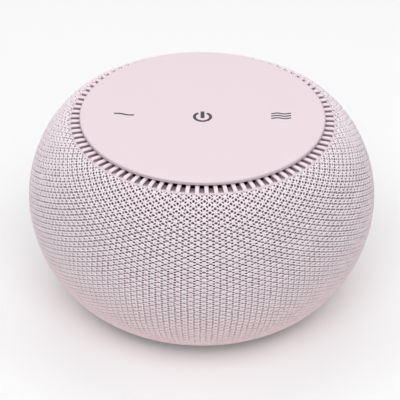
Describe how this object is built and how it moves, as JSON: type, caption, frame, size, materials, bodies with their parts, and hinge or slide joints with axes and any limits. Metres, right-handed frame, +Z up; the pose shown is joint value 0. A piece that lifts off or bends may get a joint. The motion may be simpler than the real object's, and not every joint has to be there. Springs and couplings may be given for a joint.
{
  "type": "white noise sound machine",
  "caption": "Round fan-driven white noise machine with a knitted mesh cover that twists, a ribbed air inlet ring and a flat touch disc.",
  "frame": {"origin": "centre of the plane that the rubber feet rest on", "axes": "+Z up along the fan's shaft, -Y towards the user who reads the touch signs, +Y towards the plug's way out"},
  "size_m": [0.142, 0.142, 0.0819],
  "materials": {
    "fabric_knit": "knitted spacer mesh, pale pink",
    "disc_plastic": "fine satin, pale pink",
    "rib_plastic": "satin, pale pink",
    "sign_ink": "dark grey print",
    "base_plastic": "fine grain, dusty pink",
    "shell_plastic": "plain moulded",
    "drum_plastic": "plain moulded",
    "wheel_plastic": "plain moulded, off-white",
    "glide_plastic": "slippery, off-white",
    "black_plastic": "moulded, black",
    "socket_plastic": "moulded, ivory",
    "foot_rubber": "soft, warm grey",
    "isolator_rubber": "soft, black",
    "screw_steel": "zinc plated",
    "shaft_steel": "ground",
    "plate_steel": "pressed sheet, zinc plated",
    "core_steel": "stacked laminations",
    "cup_steel": "drawn cup",
    "tube_brass": "turned",
    "contact_brass": "plated contact",
    "bush_bronze": "sintered, oiled",
    "magnet_ferrite": "bonded ferrite",
    "coil_copper": "enamelled wire",
    "electrode_copper": "plated copper",
    "board_green": "solder mask",
    "capacitor_sleeve": "shrunk sleeve",
    "cable_grey": "flat cable"
  },
  "bodies": {
    "root": {"base_pan": "base_plastic", "rubber_feet": "foot_rubber", "base_screws": "screw_steel", "glide_ring": "glide_plastic", "dc_jack": "black_plastic", "jack_pin": "contact_brass", "main_board": "board_green", "bulk_capacitors": "capacitor_sleeve", "power_inductor": "core_steel", "driver_chip": "black_plastic", "board_sockets": "socket_plastic", "deck_plate": "drum_plastic", "drum_wall": "drum_plastic", "drum_lid": "drum_plastic", "drum_screws": "screw_steel", "lid_screws": "screw_steel", "motor_isolators": "isolator_rubber", "motor_plate": "plate_steel", "motor_screws": "screw_steel", "bearing_tube": "tube_brass", "lower_bushing": "bush_bronze", "upper_bushing": "bush_bronze", "stator_core": "core_steel", "stator_coils": "coil_copper", "motor_board": "board_green", "motor_lead": "cable_grey", "disc_carrier": "black_plastic", "carrier_screws": "screw_steel", "touch_board": "board_green", "touch_electrodes": "electrode_copper", "touch_chip": "black_plastic", "ribbon_cable": "cable_grey", "top_disc": "disc_plastic", "touch_symbols": "sign_ink"},
    "cover": {"lower_shell": "shell_plastic", "upper_shell": "shell_plastic", "hem_ring": "base_plastic", "vent_ring": "rib_plastic", "fabric_cover": "fabric_knit"},
    "rotor": {"shaft": "shaft_steel", "shaft_clip": "shaft_steel", "rotor_cup": "cup_steel", "magnet_ring": "magnet_ferrite", "impeller": "wheel_plastic"}
  },
  "joints": [
    {"name": "tone_twist", "type": "hinge", "parent": "root", "child": "cover", "pos_m": [0, 0, 0.0136], "axis": [0, 0, 1], "range_deg": [0, 22]},
    {"name": "fan_spin", "type": "hinge", "parent": "root", "child": "rotor", "pos_m": [0, 0, 0.0366], "axis": [0, 0, 1], "continuous": true}
  ]
}
